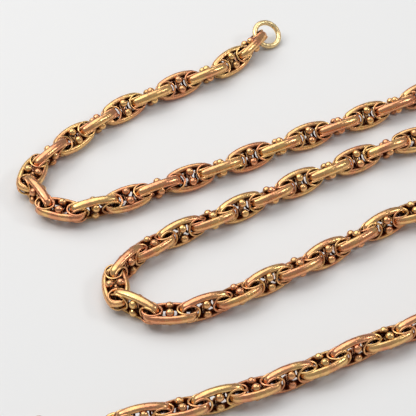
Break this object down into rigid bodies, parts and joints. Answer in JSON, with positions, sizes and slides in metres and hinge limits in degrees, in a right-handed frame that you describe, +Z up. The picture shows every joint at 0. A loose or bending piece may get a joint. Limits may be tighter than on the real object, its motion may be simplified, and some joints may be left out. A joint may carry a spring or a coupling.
{
  "type": "pocket watch chain",
  "caption": "Watch chain of heavy oval links with collars and beads, crossing at right angles, with a wire end ring and a waistcoat bar, lying in loose bends.",
  "frame": {"origin": "centre of the footprint, on the surface that the chain lies on", "axes": "+Z up from the surface; +Y from the bar's end of the layout to the end ring's; +X to the right"},
  "size_m": [0.0896, 0.1118, 0.0045],
  "materials": {
    "rolled_gold": "polished rolled gold, worn rosier on the high spots, dark in the crevices",
    "pale_gold": "polished, paler wire"
  },
  "bodies": {
    "link_36": {"link_36": "rolled_gold"},
    "end_ring": {"end_ring": "pale_gold"},
    "link_01": {"link_01": "rolled_gold"},
    "link_02": {"link_02": "rolled_gold"},
    "link_03": {"link_03": "rolled_gold"},
    "link_04": {"link_04": "rolled_gold"},
    "link_05": {"link_05": "rolled_gold"},
    "link_06": {"link_06": "rolled_gold"},
    "link_07": {"link_07": "rolled_gold"},
    "link_08": {"link_08": "rolled_gold"},
    "link_09": {"link_09": "rolled_gold"},
    "link_10": {"link_10": "rolled_gold"},
    "link_11": {"link_11": "rolled_gold"},
    "link_12": {"link_12": "rolled_gold"},
    "link_13": {"link_13": "rolled_gold"},
    "link_14": {"link_14": "rolled_gold"},
    "link_15": {"link_15": "rolled_gold"},
    "link_16": {"link_16": "rolled_gold"},
    "link_17": {"link_17": "rolled_gold"},
    "link_18": {"link_18": "rolled_gold"},
    "link_19": {"link_19": "rolled_gold"},
    "link_20": {"link_20": "rolled_gold"},
    "link_21": {"link_21": "rolled_gold"},
    "link_22": {"link_22": "rolled_gold"},
    "link_23": {"link_23": "rolled_gold"},
    "links_24_to_25": {"links_24_to_25": "rolled_gold"},
    "links_26_to_27": {"links_26_to_27": "rolled_gold"},
    "links_28_to_30": {"links_28_to_30": "rolled_gold"},
    "link_31": {"link_31": "rolled_gold"},
    "link_32": {"link_32": "rolled_gold"},
    "link_33": {"link_33": "rolled_gold"},
    "link_34": {"link_34": "rolled_gold"},
    "link_35": {"link_35": "rolled_gold"},
    "link_37": {"link_37": "rolled_gold"},
    "link_38": {"link_38": "rolled_gold"},
    "link_39": {"link_39": "rolled_gold"},
    "link_40": {"link_40": "rolled_gold"},
    "link_41": {"link_41": "rolled_gold"},
    "link_42": {"link_42": "rolled_gold"},
    "link_43": {"link_43": "rolled_gold"},
    "link_44": {"link_44": "rolled_gold"},
    "link_45": {"link_45": "rolled_gold"},
    "link_46": {"link_46": "rolled_gold"},
    "link_47": {"link_47": "rolled_gold"},
    "link_48": {"link_48": "rolled_gold"},
    "link_49": {"link_49": "rolled_gold"},
    "link_50": {"link_50": "rolled_gold"},
    "link_51": {"link_51": "rolled_gold"},
    "link_52": {"link_52": "rolled_gold"},
    "links_53_to_55": {"links_53_to_55": "rolled_gold"},
    "links_56_to_58": {"links_56_to_58": "rolled_gold"},
    "links_59_to_60": {"links_59_to_60": "rolled_gold"},
    "links_61_to_62": {"links_61_to_62": "rolled_gold"},
    "links_63_to_64": {"links_63_to_64": "rolled_gold"},
    "links_65_to_66": {"links_65_to_66": "rolled_gold"},
    "link_67": {"link_67": "rolled_gold"},
    "bar_ring": {"bar_ring": "rolled_gold"},
    "waistcoat_bar": {"waistcoat_bar": "rolled_gold"}
  },
  "joints": [
    {"name": "link_01_on_link_02", "type": "hinge", "parent": "link_02", "child": "link_01", "pos_m": [-0.00475, 0.04748, 0.00193], "axis": [0.5136, -0.486, -0.7071], "range_deg": [-30, 30]},
    {"name": "link_02_on_link_03", "type": "hinge", "parent": "link_03", "child": "link_02", "pos_m": [-0.00997, 0.04197, 0.00193], "axis": [-0.5136, 0.486, 0.7071], "range_deg": [-30, 30]},
    {"name": "link_03_on_link_04", "type": "hinge", "parent": "link_04", "child": "link_03", "pos_m": [-0.01383, 0.03978, 0.00193], "axis": [0.3797, -0.5965, -0.7071], "range_deg": [-30, 30]},
    {"name": "link_04_on_link_05", "type": "hinge", "parent": "link_05", "child": "link_04", "pos_m": [-0.02023, 0.03571, 0.00193], "axis": [-0.3797, 0.5965, 0.7071], "range_deg": [-30, 30]},
    {"name": "link_05_on_link_06", "type": "hinge", "parent": "link_06", "child": "link_05", "pos_m": [-0.02396, 0.03333, 0.00193], "axis": [0.4517, -0.5441, -0.7071], "range_deg": [-30, 30]},
    {"name": "link_06_on_link_07", "type": "hinge", "parent": "link_07", "child": "link_06", "pos_m": [-0.02979, 0.02847, 0.00194], "axis": [-0.4517, 0.5441, 0.7071], "range_deg": [-30, 30]},
    {"name": "link_07_on_link_08", "type": "hinge", "parent": "link_08", "child": "link_07", "pos_m": [-0.03289, 0.02531, 0.00198], "axis": [0.6522, -0.5874, -0.4792], "range_deg": [-30, 30]},
    {"name": "link_08_on_link_09", "type": "hinge", "parent": "link_09", "child": "link_08", "pos_m": [-0.03792, 0.01962, 0.00213], "axis": [-0.6522, 0.5874, 0.4792], "range_deg": [-30, 30]},
    {"name": "link_09_on_link_10", "type": "hinge", "parent": "link_10", "child": "link_09", "pos_m": [-0.0411, 0.01633, 0.00217], "axis": [0.9398, -0.2677, -0.2126], "range_deg": [-30, 20]},
    {"name": "link_10_on_link_11", "type": "hinge", "parent": "link_11", "child": "link_10", "pos_m": [-0.04316, 0.00902, 0.00225], "axis": [-0.9398, 0.2677, 0.2126], "range_deg": [-30, 8]},
    {"name": "link_11_on_link_12", "type": "hinge", "parent": "link_12", "child": "link_11", "pos_m": [-0.04031, 0.00456, 0.00226], "axis": [0.2824, 0.9566, 0.0713], "range_deg": [-30, 12]},
    {"name": "link_12_on_link_13", "type": "hinge", "parent": "link_13", "child": "link_12", "pos_m": [-0.03303, 0.00242, 0.00223], "axis": [-0.2824, -0.9566, -0.0713], "range_deg": [-30, 15]},
    {"name": "link_13_on_link_14", "type": "hinge", "parent": "link_14", "child": "link_13", "pos_m": [-0.02874, 0.00456, 0.00221], "axis": [-0.4442, 0.825, 0.3494], "range_deg": [-30, 30]},
    {"name": "link_14_on_link_15", "type": "hinge", "parent": "link_15", "child": "link_14", "pos_m": [-0.02208, 0.0082, 0.00208], "axis": [0.4442, -0.825, -0.3494], "range_deg": [-30, 30]},
    {"name": "link_15_on_link_16", "type": "hinge", "parent": "link_16", "child": "link_15", "pos_m": [-0.01816, 0.01027, 0.00202], "axis": [-0.3463, 0.7218, 0.5992], "range_deg": [-30, 30]},
    {"name": "link_16_on_link_17", "type": "hinge", "parent": "link_17", "child": "link_16", "pos_m": [-0.01134, 0.01361, 0.00193], "axis": [0.3463, -0.7218, -0.5992], "range_deg": [-30, 30]},
    {"name": "link_17_on_link_18", "type": "hinge", "parent": "link_18", "child": "link_17", "pos_m": [-0.00759, 0.01557, 0.00193], "axis": [-0.352, 0.6061, 0.7133], "range_deg": [-30, 30]},
    {"name": "link_18_on_link_19", "type": "hinge", "parent": "link_19", "child": "link_18", "pos_m": [-0.00103, 0.01938, 0.00193], "axis": [0.352, -0.6061, -0.7133], "range_deg": [-30, 30]},
    {"name": "link_19_on_link_20", "type": "hinge", "parent": "link_20", "child": "link_19", "pos_m": [0.00282, 0.02155, 0.00193], "axis": [-0.3174, 0.6108, 0.7254], "range_deg": [-30, 30]},
    {"name": "link_20_on_link_21", "type": "hinge", "parent": "link_21", "child": "link_20", "pos_m": [0.00955, 0.02504, 0.00194], "axis": [0.3174, -0.6108, -0.7254], "range_deg": [-30, 30]},
    {"name": "link_21_on_link_22", "type": "hinge", "parent": "link_22", "child": "link_21", "pos_m": [0.01345, 0.0271, 0.00194], "axis": [-0.3253, 0.5921, 0.7373], "range_deg": [-30, 30]},
    {"name": "link_22_on_link_23", "type": "hinge", "parent": "link_23", "child": "link_22", "pos_m": [0.02011, 0.03075, 0.00194], "axis": [0.3253, -0.5921, -0.7373], "range_deg": [-30, 30]},
    {"name": "link_23_on_link_24", "type": "hinge", "parent": "links_24_to_25", "child": "link_23", "pos_m": [0.02529, 0.03375, 0.002], "axis": [-0.3654, 0.6471, -0.6691], "range_deg": [-30, 30]},
    {"name": "link_25_on_link_26", "type": "hinge", "parent": "links_26_to_27", "child": "links_24_to_25", "pos_m": [0.03654, 0.03774, 0.0022], "axis": [-0.1884, 0.9322, -0.309], "range_deg": [-20, 15]},
    {"name": "link_27_on_link_28", "type": "hinge", "parent": "links_28_to_30", "child": "links_26_to_27", "pos_m": [0.04321, 0.02812, 0.00218], "axis": [0.9142, 0.2623, -0.309], "range_deg": [-20, 10]},
    {"name": "link_30_on_link_31", "type": "hinge", "parent": "link_31", "child": "links_28_to_30", "pos_m": [0.02862, 0.02337, 0.00216], "axis": [-0.3108, 0.8393, 0.4461], "range_deg": [-30, 15]},
    {"name": "link_31_on_link_32", "type": "hinge", "parent": "link_32", "child": "link_31", "pos_m": [0.02148, 0.02081, 0.002], "axis": [0.3108, -0.8393, -0.4461], "range_deg": [-30, 30]},
    {"name": "link_32_on_link_33", "type": "hinge", "parent": "link_33", "child": "link_32", "pos_m": [0.01768, 0.01865, 0.00196], "axis": [-0.3771, 0.6668, 0.6428], "range_deg": [-30, 30]},
    {"name": "link_33_on_link_34", "type": "hinge", "parent": "link_34", "child": "link_33", "pos_m": [0.01255, 0.01579, 0.00194], "axis": [0.3636, -0.6064, 0.7071], "range_deg": [-30, 30]},
    {"name": "link_34_on_link_35", "type": "hinge", "parent": "link_35", "child": "link_34", "pos_m": [0.00604, 0.01189, 0.00194], "axis": [-0.3636, 0.6064, -0.7071], "range_deg": [-30, 30]},
    {"name": "link_35_on_link_36", "type": "hinge", "parent": "link_36", "child": "link_35", "pos_m": [0.0023, 0.00954, 0.00195], "axis": [0.4556, -0.6823, 0.5718], "range_deg": [-30, 30]},
    {"name": "link_37_on_link_36", "type": "hinge", "parent": "link_36", "child": "link_37", "pos_m": [-0.00404, 0.00536, 0.00201], "axis": [0.4556, -0.6823, 0.5718], "range_deg": [-30, 30]},
    {"name": "link_38_on_link_37", "type": "hinge", "parent": "link_37", "child": "link_38", "pos_m": [-0.00778, 0.00301, 0.00206], "axis": [-0.4635, 0.781, -0.4186], "range_deg": [-30, 30]},
    {"name": "link_39_on_link_38", "type": "hinge", "parent": "link_38", "child": "link_39", "pos_m": [-0.01433, -0.00083, 0.00215], "axis": [0.4635, -0.781, 0.4186], "range_deg": [-30, 30]},
    {"name": "link_40_on_link_39", "type": "hinge", "parent": "link_39", "child": "link_40", "pos_m": [-0.0181, -0.00318, 0.00217], "axis": [-0.6198, 0.743, -0.2525], "range_deg": [-30, 30]},
    {"name": "link_41_on_link_40", "type": "hinge", "parent": "link_40", "child": "link_41", "pos_m": [-0.02394, -0.00803, 0.00223], "axis": [0.6198, -0.743, 0.2525], "range_deg": [-30, 30]},
    {"name": "link_42_on_link_41", "type": "hinge", "parent": "link_41", "child": "link_42", "pos_m": [-0.02719, -0.01169, 0.00224], "axis": [-0.9877, -0.1356, -0.0785], "range_deg": [-15, 20]},
    {"name": "link_43_on_link_42", "type": "hinge", "parent": "link_42", "child": "link_43", "pos_m": [-0.02616, -0.01921, 0.00226], "axis": [0.9877, 0.1356, 0.0785], "range_deg": [-12, 20]},
    {"name": "link_44_on_link_43", "type": "hinge", "parent": "link_43", "child": "link_44", "pos_m": [-0.02158, -0.02173, 0.00226], "axis": [0.0564, -0.9936, 0.098], "range_deg": [-15, 30]},
    {"name": "link_45_on_link_44", "type": "hinge", "parent": "link_44", "child": "link_45", "pos_m": [-0.01401, -0.02131, 0.00224], "axis": [-0.0564, 0.9936, -0.098], "range_deg": [-30, 30]},
    {"name": "link_46_on_link_45", "type": "hinge", "parent": "link_45", "child": "link_46", "pos_m": [-0.00998, -0.01917, 0.00223], "axis": [0.5324, -0.8018, 0.2714], "range_deg": [-30, 30]},
    {"name": "link_47_on_link_46", "type": "hinge", "parent": "link_46", "child": "link_47", "pos_m": [-0.00365, -0.01498, 0.00216], "axis": [-0.5324, 0.8018, -0.2714], "range_deg": [-30, 30]},
    {"name": "link_48_on_link_47", "type": "hinge", "parent": "link_47", "child": "link_48", "pos_m": [0.00007, -0.01258, 0.00214], "axis": [0.4926, -0.7529, 0.4364], "range_deg": [-30, 30]},
    {"name": "link_49_on_link_48", "type": "hinge", "parent": "link_48", "child": "link_49", "pos_m": [0.00644, -0.00847, 0.00204], "axis": [-0.4926, 0.7529, -0.4364], "range_deg": [-30, 30]},
    {"name": "link_50_on_link_49", "type": "hinge", "parent": "link_49", "child": "link_50", "pos_m": [0.01005, -0.00591, 0.00198], "axis": [0.4825, -0.6494, 0.5878], "range_deg": [-30, 30]},
    {"name": "link_51_on_link_50", "type": "hinge", "parent": "link_50", "child": "link_51", "pos_m": [0.01611, -0.00134, 0.00206], "axis": [-0.4825, 0.6494, -0.5878], "range_deg": [-30, 30]},
    {"name": "link_52_on_link_51", "type": "hinge", "parent": "link_51", "child": "link_52", "pos_m": [0.01979, 0.00133, 0.00217], "axis": [0.4, -0.9041, 0.1507], "range_deg": [-30, 30]},
    {"name": "link_53_on_link_52", "type": "hinge", "parent": "link_52", "child": "links_53_to_55", "pos_m": [0.02672, 0.00441, 0.00227], "axis": [-0.4, 0.9041, -0.1507], "range_deg": [-8, 30]},
    {"name": "link_56_on_link_55", "type": "hinge", "parent": "links_53_to_55", "child": "links_56_to_58", "pos_m": [0.03515, -0.00786, 0.00225], "axis": [-0.9343, 0.3244, -0.1478], "range_deg": [-30, 30]},
    {"name": "link_59_on_link_58", "type": "hinge", "parent": "links_56_to_58", "child": "links_59_to_60", "pos_m": [0.02426, -0.02352, 0.00222], "axis": [0.601, -0.7768, 0.1879], "range_deg": [-30, 30]},
    {"name": "link_61_on_link_60", "type": "hinge", "parent": "links_59_to_60", "child": "links_61_to_62", "pos_m": [0.01339, -0.02866, 0.00222], "axis": [0.4289, -0.8791, 0.2079], "range_deg": [-30, 30]},
    {"name": "link_63_on_link_62", "type": "hinge", "parent": "links_61_to_62", "child": "links_63_to_64", "pos_m": [0.00301, -0.03467, 0.00222], "axis": [0.4987, -0.8415, 0.2079], "range_deg": [-30, 30]},
    {"name": "link_65_on_link_64", "type": "hinge", "parent": "links_63_to_64", "child": "links_65_to_66", "pos_m": [-0.00803, -0.03938, 0.00222], "axis": [0.3597, -0.9096, 0.2079], "range_deg": [-30, 30]},
    {"name": "link_67_on_link_66", "type": "hinge", "parent": "links_65_to_66", "child": "link_67", "pos_m": [-0.01936, -0.04331, 0.00222], "axis": [0.2973, -0.9319, 0.2079], "range_deg": [-30, 30]},
    {"name": "end_ring_in_link_01", "type": "hinge", "parent": "link_01", "child": "end_ring", "pos_m": [-0.00239, 0.05163, 0.00193], "axis": [-0.5372, 0.6314, 0.5592], "range_deg": [-35, 35]},
    {"name": "bar_ring_in_link_67", "type": "hinge", "parent": "link_67", "child": "bar_ring", "pos_m": [-0.02406, -0.04435, 0.00222], "axis": [0.369, -0.9294, 0], "range_deg": [-35, 35]},
    {"name": "bar_eye_in_bar_ring", "type": "hinge", "parent": "bar_ring", "child": "waistcoat_bar", "pos_m": [-0.02633, -0.04643, 0.00222], "axis": [0.8962, -0.4437, 0], "range_deg": [-35, 35]}
  ]
}
